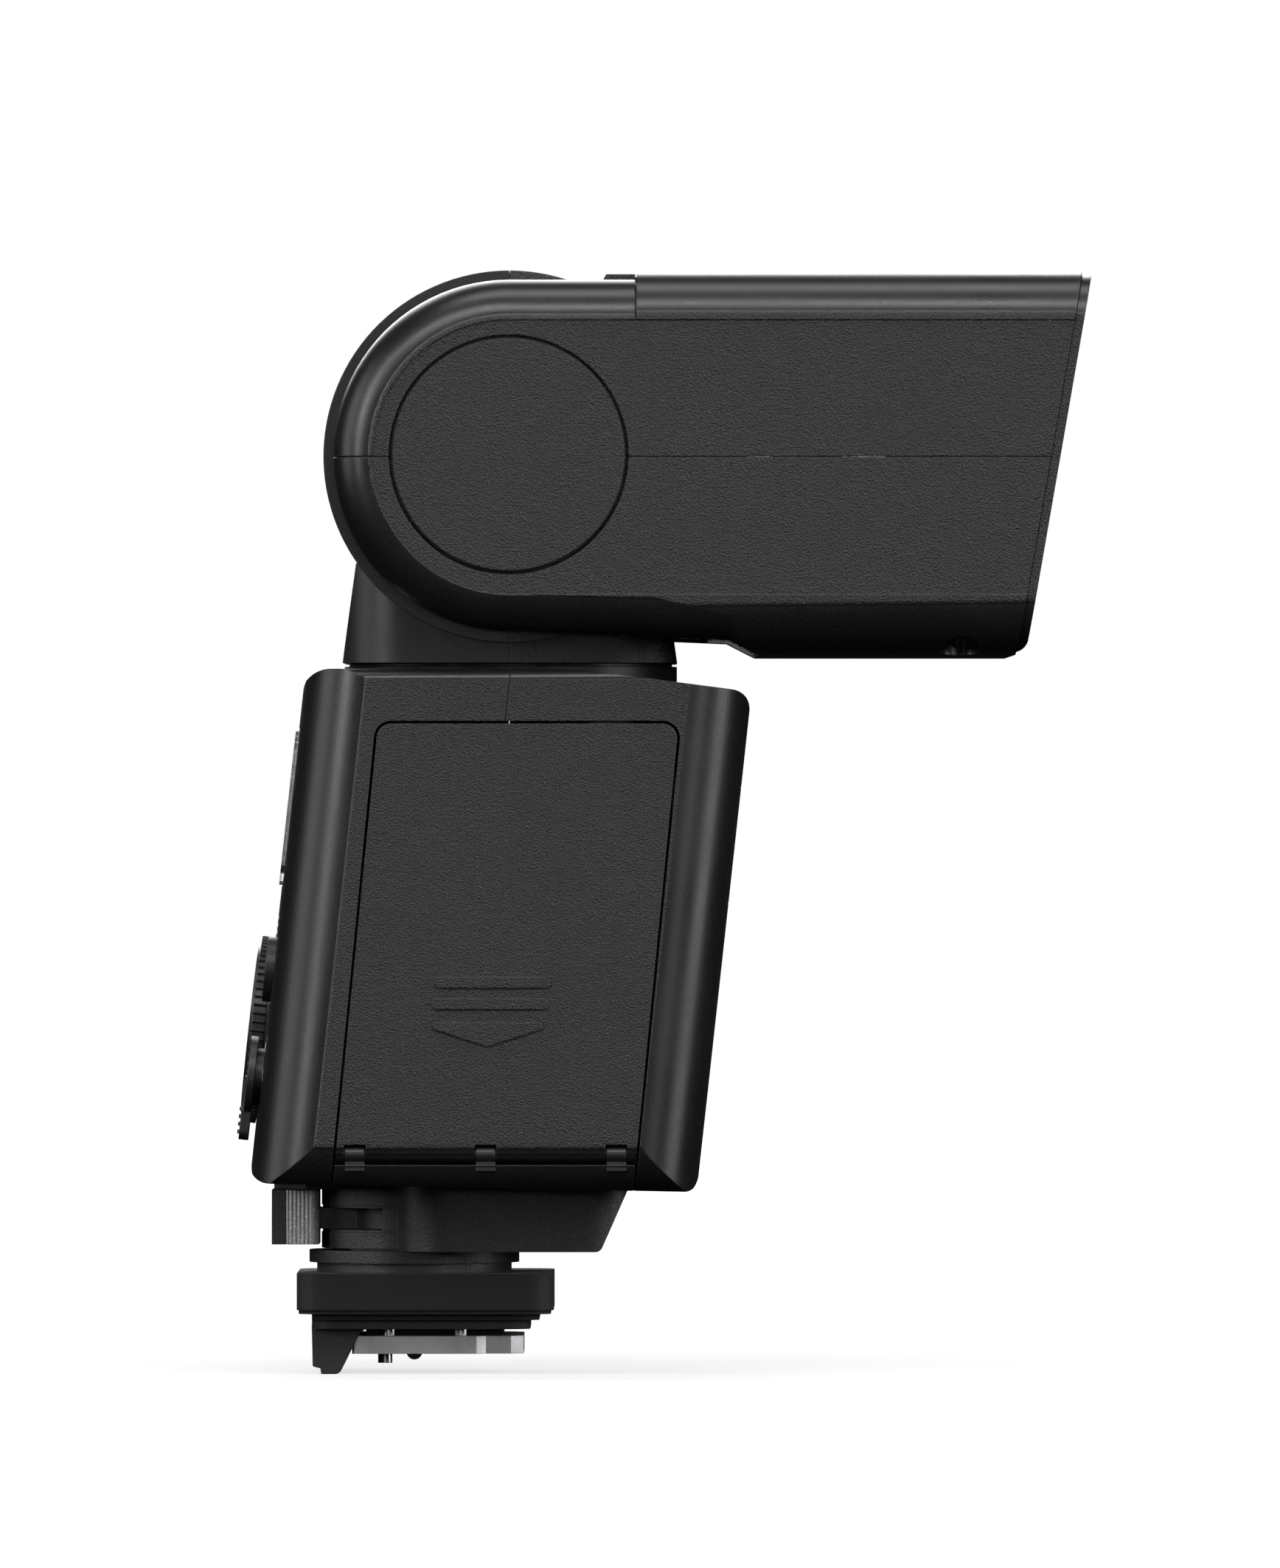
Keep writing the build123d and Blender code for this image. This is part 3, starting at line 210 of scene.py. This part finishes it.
def moulded(name, colour, grain, depth, rough, edge_radius=0.16 * MM, edge_wear_and_highlight=0.5, flat_sides=False):
    """Moulded plastic with a spark-eroded grain, cloudy gloss, bright specks that are painted glints, and edges
    lightened as rubbed wear and painted edge highlights.
    """
    look = Look(name)
    edges = look.round_edges(edge_radius)
    fine = look.noise(1 / grain, detail=2.5, roughness=0.6)
    pits = look.cells(0.9 / grain)
    height = look.maths("ADD", look.maths("MULTIPLY", pits, 0.6), fine)
    satin = look.noise(9000, detail=2.0)
    clouds = look.noise(90, detail=4.0)
    if flat_sides:
        share = side_panel_share(look)
        height = look.blend(share, look.maths("MULTIPLY", satin, 0.05), height)
        roughness = look.blend(share, rough - 0.16, rough)
    else:
        roughness = rough
    look.bump(height, depth)
    roughness = look.maths("ADD", roughness, look.spread(clouds, 0.3, 0.7, -0.03, 0.03))
    roughness = look.maths("ADD", roughness, look.spread(fine, 0.3, 0.7, -0.05, 0.06))
    # Sharp edges, broken up by noise, are lightened towards grey: partly rubbed wear, partly painted edge
    # highlights.
    rubbed_and_highlit = look.maths("MULTIPLY", edges, look.spread(look.noise(700, detail=5), 0.35, 0.65, 0.35, 1.0))
    tint = look.mix(look.spread(clouds, 0.3, 0.7, 0.0, 1.0), tuple(0.9 * c for c in colour), colour)
    # Bright specks in the grain: painted glints.
    glint_specks = look.spread(look.noise(5200, detail=1.0), 0.6, 0.7, 0.0, 0.6)
    tint = look.mix(glint_specks, tint, tuple(3.2 * c for c in colour))
    tint = look.mix(look.maths("MULTIPLY", rubbed_and_highlit, edge_wear_and_highlight), tint, EDGE_WEAR_AND_HIGHLIGHT_GREY)
    return look.finish(tint, roughness, Specular_IOR_Level=0.5)


def rubber(name):
    """Matt rubber with very fine pitting and a dusty bloom."""
    look = Look(name)
    look.round_edges(0.3 * MM)
    pits = look.noise(6500, detail=3)
    bloom = look.noise(160, detail=5)
    look.bump(pits, 0.012 * MM)
    tint = look.mix(look.spread(bloom, 0.35, 0.7, 0.0, 0.6), RUBBER_BLACK, (0.010, 0.0095, 0.011))
    return look.finish(tint, look.spread(pits, 0.3, 0.7, 0.62, 0.8), Sheen_Weight=0.04, Sheen_Roughness=0.5)


def metal(name, colour, rough, grain=2200, stretch=(1, 1, 1), scratch=0.006 * MM, edge_radius=0.12 * MM):
    """Metal with a drawn or cast grain, fine scratches, and edges brightened as rubbed wear and painted edge
    highlights.
    """
    look = Look(name)
    edges = look.round_edges(edge_radius)
    lines = look.noise(grain, detail=3, stretch=stretch)
    stain = look.noise(260, detail=5)
    look.bump(lines, scratch)
    tint = look.mix(look.spread(stain, 0.35, 0.7, 0.0, 1.0), tuple(0.8 * c for c in colour), colour)
    # Edges brightened: rubbed wear and painted edge highlights.
    tint = look.mix(look.maths("MULTIPLY", edges, 0.7), tint, tuple(min(1, 1.5 * c) for c in colour))
    return look.finish(tint, look.spread(lines, 0.3, 0.7, rough - 0.05, rough + 0.08), Metallic=1.0)


def glossy(name, colour, rough=0.12, orange_peel=900, **sockets):
    """Glossy plastic, lacquer or glass with slight waviness, smears and fine dust."""
    look = Look(name)
    look.round_edges(0.1 * MM)
    waves = look.noise(orange_peel, detail=2)
    smears = look.noise(210, detail=6, roughness=0.7)
    look.bump(waves, 0.004 * MM)
    tint = look.mix(look.spread(smears, 0.4, 0.7, 0.0, 0.5), colour, tuple(0.8 * c for c in colour))
    return look.finish(tint, look.spread(smears, 0.3, 0.75, rough, rough + 0.12), **sockets)


def board_look(name):
    """Solder mask with copper tracks under it."""
    look = Look(name)
    tracks = look.cells(700, feature="DISTANCE_TO_EDGE")
    line = look.spread(tracks, 0.05, 0.09, 1.0, 0.0)
    look.bump(line, 0.02 * MM)
    tint = look.mix(line, (0.012, 0.075, 0.03), (0.03, 0.16, 0.06))
    return look.finish(tint, look.spread(look.noise(900), 0.3, 0.7, 0.25, 0.4), Coat_Weight=0.3)


def ink(name, colour=INK_WHITE):
    """Pad-printed ink: slightly uneven and a little worn through."""
    look = Look(name)
    patch = look.noise(6000, detail=3)
    look.bump(patch, 0.006 * MM)
    tint = look.mix(look.spread(patch, 0.35, 0.6, 0.25, 0.0), colour, tuple(0.45 * c for c in colour))
    return look.finish(tint, look.spread(patch, 0.3, 0.7, 0.45, 0.6))


def build_looks():
    """The material of every slot in the record."""
    return {
        "panel_plastic": moulded("panel_plastic_look", CHARCOAL, 0.17 * MM, 0.12 * MM, 0.49, flat_sides=True),
        "panel_coarse": moulded("panel_coarse_look", CHARCOAL, 0.17 * MM, 0.12 * MM, 0.49),
        "turret_plastic": moulded("turret_satin_look", BLACK, 0.10 * MM, 0.004 * MM, 0.42),
        # The front cover's black is lifted well above the turret's own: painted light for the shade under the
        # head, on top of its coarser grain.
        "turret_coarse": moulded("turret_coarse_look", (0.024, 0.024, 0.025), 0.26 * MM, 0.07 * MM, 0.4),
        "foot_plastic": moulded("foot_plastic_look", FOOT_BLACK_WITH_PAINTED_FILL, 0.24 * MM, 0.03 * MM, 0.46),
        "foot_rubber": rubber("foot_rubber_look"),
        "control_plastic": moulded("control_plastic_look", BLACK, 0.12 * MM, 0.006 * MM, 0.4, edge_wear_and_highlight=0.8),
        "grey_plastic": moulded("grey_plastic_look", GRIP_GREY, 0.18 * MM, 0.006 * MM, 0.48, edge_wear_and_highlight=0.3),
        "inner_plastic": moulded("inner_plastic_look", (0.03, 0.03, 0.03), 0.2 * MM, 0.01 * MM, 0.6),
        "foot_metal": metal("foot_metal_look", (0.42, 0.42, 0.43), 0.42, 3200, (1, 0.25, 1)),
        "steel": metal("steel_look", (0.48, 0.48, 0.5), 0.24, 2600, (1, 1, 0.2)),
        "cast_metal": metal("cast_metal_look", (0.36, 0.36, 0.37), 0.5, 1500, scratch=0.02 * MM),
        "bush_brass": metal("bush_brass_look", (0.6, 0.43, 0.17), 0.28, 2400),
        "contact_plating": metal("contact_plating_look", (0.7, 0.69, 0.67), 0.12, 1800, scratch=0.002 * MM),
        "board": board_look("board_look"),
        "display": glossy("display_look", (0.19, 0.23, 0.17), 0.3),
        "window": glossy("window_look", (0.02, 0.003, 0.004), 0.06, Transmission_Weight=0.35),
        "lcd_glass": glossy("lcd_glass_look", (0.32, 0.33, 0.34), 0.05, Transmission_Weight=1.0),
        "lens_clear": glossy("lens_clear_look", (0.95, 0.96, 0.97), 0.06, 1500, Transmission_Weight=1.0, IOR=1.49),
        "card_white": glossy("card_white_look", (0.78, 0.78, 0.75), 0.4, 2500),
        "mirror_bright": metal("mirror_bright_look", (0.9, 0.9, 0.9), 0.1, 600, scratch=0.002 * MM),
        "tube_glass": glossy("tube_glass_look", (0.96, 0.95, 0.88), 0.04, Transmission_Weight=0.9),
        "cell_sleeve": glossy("cell_sleeve_look", (0.05, 0.05, 0.06), 0.25),
        "capacitor_sleeve": glossy("capacitor_sleeve_look", (0.01, 0.014, 0.03), 0.25),
    }


LOOKS = build_looks()
INK = ink("ink_look")
# Nodes whose finish differs from the rest of their slot.
SPECIAL = {
    "turret_front_cover": "turret_coarse",
    "tilt_cap_left": "panel_coarse",
    "tilt_cap_right": "panel_coarse",
    "lcd_window": "lcd_glass",
    "door_carrier": "turret_plastic",
}


def dress_nodes():
    """Gives every CAD node its material."""
    for part in frame["record"]["subparts"]:
        node = part["node"]
        look = LOOKS[SPECIAL.get(node, part["material_slot"])]
        cad_object = NODES[node]
        if not cad_object.material_slots:
            cad_object.data.materials.append(look)
        for material_slot in cad_object.material_slots:
            material_slot.material = look


# ---- Small pieces ----
def new_piece(name, mesh_maker, look, body):
    """A mesh piece made by a function that fills a bmesh, riding on a body."""
    mesh = bpy.data.meshes.new(name)
    work = bmesh.new()
    mesh_maker(work)
    bmesh.ops.recalc_face_normals(work, faces=work.faces)
    work.to_mesh(mesh)
    work.free()
    mesh.materials.append(look)
    piece = bpy.data.objects.new(name, mesh)
    bpy.context.scene.collection.objects.link(piece)
    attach(piece, body)
    return piece


def slab(work, corners, frame_at, thickness):
    """A thin closed slab with the given outline, in a local frame (4x4 matrix)."""
    low = [work.verts.new(frame_at @ Vector((u, v, 0))) for u, v in corners]
    high = [work.verts.new(frame_at @ Vector((u, v, thickness))) for u, v in corners]
    work.faces.new(list(reversed(low)))
    work.faces.new(high)
    count = len(corners)
    for index in range(count):
        after = (index + 1) % count
        work.faces.new((low[index], low[after], high[after], high[index]))


def pill(width, height, middle=(0, 0), steps=6):
    """Outline of a bar with round ends."""
    radius = height / 2
    points = []
    for hand in (1, -1):
        for step in range(steps + 1):
            turn = pi * step / steps - hand * pi / 2
            across = hand * (width / 2 - radius) + radius * cos(turn)
            points.append((middle[0] + across, middle[1] + radius * sin(turn)))
    return points


def ring_outline(radius, steps=24):
    """Outline of a disc."""
    return [(radius * cos(2 * pi * k / steps), radius * sin(2 * pi * k / steps)) for k in range(steps)]


def middle_of(node):
    """Middle of a node's box."""
    low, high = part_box(node)
    return (low + high) / 2


# ---- Printed marks on the rear ----
PRINT_THICK = 0.03 * MM
PRINT_GAP = 0.005 * MM
SEGMENT_THICK = 0.02 * MM
DISPLAY_GAP = 0.01 * MM
BEHIND = 40 * MM


def rear_frame(place, outward):
    """Local frame on the rear: u to the right as seen, v up, w outwards."""
    across = REAR_UP.cross(outward).normalized()
    spot = Matrix((across, outward.cross(across), outward)).transposed().to_4x4()
    spot.translation = place
    return spot


def rear_spot(x, z):
    """Local frame lying on the rear cover, straight in from behind at this x and z."""
    start = Vector((x, BEHIND, z))
    hit, place, outward, _ = NODES["body_rear_shell"].ray_cast(start, Vector((0, -1, 0)))
    if not hit:
        raise RuntimeError(f"nothing to print on at {x:.4f}, {z:.4f}")
    return rear_frame(place + outward * PRINT_GAP, outward)


def rear_print(name, x, z, outlines):
    """One printed mark: several flat outlines on the rear cover."""
    spot = rear_spot(x, z)

    def make(work):
        for corners in outlines:
            slab(work, corners, spot, PRINT_THICK)

    new_piece(name, make, INK, "root")


def bar(left, foot, width, height):
    """Outline of a plain rectangle."""
    return [(left, foot), (left + width, foot), (left + width, foot + height), (left, foot + height)]


def frame_outline(width, height, line):
    """Four bars that make a rectangle's edge."""
    half_w = width / 2
    half_h = height / 2
    level = [bar(-half_w, y, width, line) for y in (-half_h, half_h - line)]
    upright = [bar(x, -half_h + line, line, height - 2 * line) for x in (-half_w, half_w - line)]
    return level + upright


def print_marks():
    """Generic marks beside the rear controls: bars, a frame, a bolt, and the lever's two positions."""
    menu = middle_of("menu_button")
    mode = middle_of("mode_button")
    test = middle_of("test_button")
    lever = middle_of("power_lever")
    above = 4.9 * MM
    bars = [pill(2.6 * MM, 0.36 * MM, (0, row * 0.75 * MM)) for row in (-1, 0, 1)]
    rear_print("menu_mark", menu.x, menu.z + above, bars)
    rear_print("mode_mark", mode.x, mode.z + above, frame_outline(2.8 * MM, 1.9 * MM, 0.28 * MM))
    bolt = [(0.2, 1.3), (-0.75, -0.15), (-0.05, -0.15), (-0.2, -1.3), (0.75, 0.15), (0.05, 0.15)]
    bolt = [(u * MM, v * MM) for u, v in bolt]
    rear_print("test_mark", test.x, test.z - 1.15 * above, [bolt])
    tick = pill(0.36 * MM, 1.5 * MM)
    rear_print("lever_off_mark", lever.x - 4.6 * MM, lever.z + 1.6 * MM, [tick])
    rear_print("lever_on_mark", lever.x - 4.0 * MM, lever.z + 4.2 * MM, [ring_outline(0.55 * MM)])


# ---- Lever washers ----
WASHER_HEIGHTS = ((12.58 * MM, 12.87 * MM), (15.13 * MM, 15.42 * MM))
WASHER_HOLE = 4.4 * MM
WASHER_RADIUS = 9.6 * MM
WASHER_STEPS = 72


def lever_washers():
    """Thin washers above and below the lock lever's arm, fixed to the foot."""
    def make(work):
        for low, high in WASHER_HEIGHTS:
            section = ((WASHER_HOLE, low), (WASHER_RADIUS, low), (WASHER_RADIUS, high), (WASHER_HOLE, high))
            rings = [
                [work.verts.new((x, y, z)) for x, y in ring_outline(radius, WASHER_STEPS)]
                for radius, z in section
            ]
            for index, ring in enumerate(rings):
                after = rings[(index + 1) % len(rings)]
                for step in range(WASHER_STEPS):
                    ahead = (step + 1) % WASHER_STEPS
                    work.faces.new((ring[step], ring[ahead], after[ahead], after[step]))

    new_piece("lever_washers", make, LOOKS["foot_plastic"], "root")


# ---- Display ----
def display_segments():
    """Dark segments on the display: a zoom scale, a level bar and a cell symbol, with no lettering."""
    low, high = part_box("lcd_module")
    middle = (low + high) / 2
    outer = max((vertex.co - middle).dot(REAR_OUT) for vertex in NODES["lcd_module"].data.vertices)
    spot = rear_frame(middle + REAR_OUT * (outer + DISPLAY_GAP), REAR_OUT)
    outlines = []
    for index in range(9):
        outlines.append(bar((-14 + 1.7 * index) * MM, -3.6 * MM, 1.1 * MM, (0.7 + 0.28 * index) * MM))
    for index in range(5):
        outlines.append(bar((6 + 2 * index) * MM, 2.4 * MM, 1.4 * MM, 2 * MM))
    for row in (1.4, 2.8):
        outlines.append(pill(9 * MM, 0.7 * MM, (-8.5 * MM, row * MM)))

    def make(work):
        for corners in outlines:
            slab(work, corners, spot, SEGMENT_THICK)

    new_piece("display_segments", make, ink("segment_look", (0.02, 0.025, 0.02)), "root")


# ---- Camera, floor and light ----
PHOTO_TALL = 164.2 * MM       # height of the object's plane that the picture takes in
CAMERA_AWAY = 2.0
CAMERA_NEAR = 0.05
CAMERA_AXIS = Vector((0, -23.63 * MM, 59.4 * MM))
SENSOR = 36.0


def add_camera():
    """The photo's straight side view, from far off."""
    data = bpy.data.cameras.new("camera")
    data.sensor_width = SENSOR
    data.lens = SENSOR * CAMERA_AWAY / PHOTO_TALL
    data.clip_start = CAMERA_NEAR
    camera = bpy.data.objects.new("camera", data)
    camera.location = CAMERA_AXIS - Vector((CAMERA_AWAY, 0, 0))
    camera.rotation_euler = (radians(90), 0, radians(-90))
    bpy.context.scene.collection.objects.link(camera)
    bpy.context.scene.camera = camera


FLOOR_HALF = 30.0
FLOOR_GAP = 0.02 * MM
WORLD_DIM = 0.008
LIGHT_AIM = Vector((0, -24 * MM, 60 * MM))
# Name, place, width, height and power of each softbox.
SOFTBOXES = (
    ("key_above", (-1.15, -0.03, 1.02), 1.8, 0.1, 15),
    ("top", (-0.15, -0.05, 1.2), 0.9, 0.4, 5),
    ("rear_side", (-0.9, 1.0, 0.45), 0.16, 0.7, 7),
    ("front_side", (-1.1, -0.95, 0.45), 0.12, 0.7, 7),
    ("front_wing", (-0.25, -1.3, 0.3), 0.5, 0.9, 8),
    ("rear_wing", (-0.15, 1.3, 0.4), 0.6, 0.9, 4),
    ("far_side", (1.2, 0.2, 0.7), 0.8, 0.8, 12),
    ("low_front", (-1.6, -0.02, 0.1), 0.6, 0.08, 1.0),
)


def add_floor():
    """A wide pale floor just under the lowest point, with a slight unevenness in its tone and a glow dimmed close
    to the object as painted shade.
    """
    low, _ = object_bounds()
    mesh = bpy.data.meshes.new("floor")
    work = bmesh.new()
    bmesh.ops.create_grid(work, x_segments=2, y_segments=2, size=FLOOR_HALF)
    work.to_mesh(mesh)
    work.free()
    look = Look("floor_look")
    tone = look.noise(2.0, detail=4)
    distance = look.add("ShaderNodeVectorMath", operation="LENGTH")
    look.feed(distance, 0, look.place)
    away = distance.outputs["Value"]
    mesh.materials.append(look.finish(
        look.mix(tone, (0.28, 0.28, 0.28), (0.3, 0.3, 0.3)),
        look.spread(tone, 0.3, 0.7, 0.85, 0.95),
        Emission_Color=(1.0, 1.0, 1.0, 1.0),
        # The glow is dimmer close to the object: a painted pool of shade round it.
        Emission_Strength=look.spread(away, 0.15, 1.2, 0.72, 1.0),
        Specular_IOR_Level=0.0,
    ))
    floor = bpy.data.objects.new("floor", mesh)
    floor.location.z = low.z - FLOOR_GAP
    floor.visible_diffuse = False
    floor.visible_glossy = False
    bpy.context.scene.collection.objects.link(floor)


def add_softbox(name, place, width, height, power):
    """A rectangular light aimed at the middle of the object."""
    data = bpy.data.lights.new(name, "AREA")
    data.shape = "RECTANGLE"
    data.size = width
    data.size_y = height
    data.energy = power
    light = bpy.data.objects.new(name, data)
    light.location = place
    light.rotation_euler = (LIGHT_AIM - Vector(place)).to_track_quat("-Z", "Y").to_euler()
    bpy.context.scene.collection.objects.link(light)


def add_world():
    """White all round for the camera, and a dim even light for everything else."""
    world = bpy.data.worlds.new("studio")
    world.use_nodes = True
    tree = world.node_tree
    background = tree.nodes["Background"]
    ray = tree.nodes.new("ShaderNodeLightPath")
    strength = tree.nodes.new("ShaderNodeMix")
    strength.data_type = "FLOAT"
    tree.links.new(ray.outputs["Is Camera Ray"], strength.inputs[0])
    strength.inputs[2].default_value = WORLD_DIM
    strength.inputs[3].default_value = 1.0
    tree.links.new(strength.outputs[0], background.inputs["Strength"])
    background.inputs["Color"].default_value = (1, 1, 1, 1)
    bpy.context.scene.world = world


def add_light():
    for softbox in SOFTBOXES:
        add_softbox(*softbox)


def main():
    dress_nodes()
    print_marks()
    display_segments()
    lever_washers()
    add_camera()
    add_floor()
    add_world()
    add_light()
    bpy.context.scene.view_settings.view_transform = "Standard"


main()
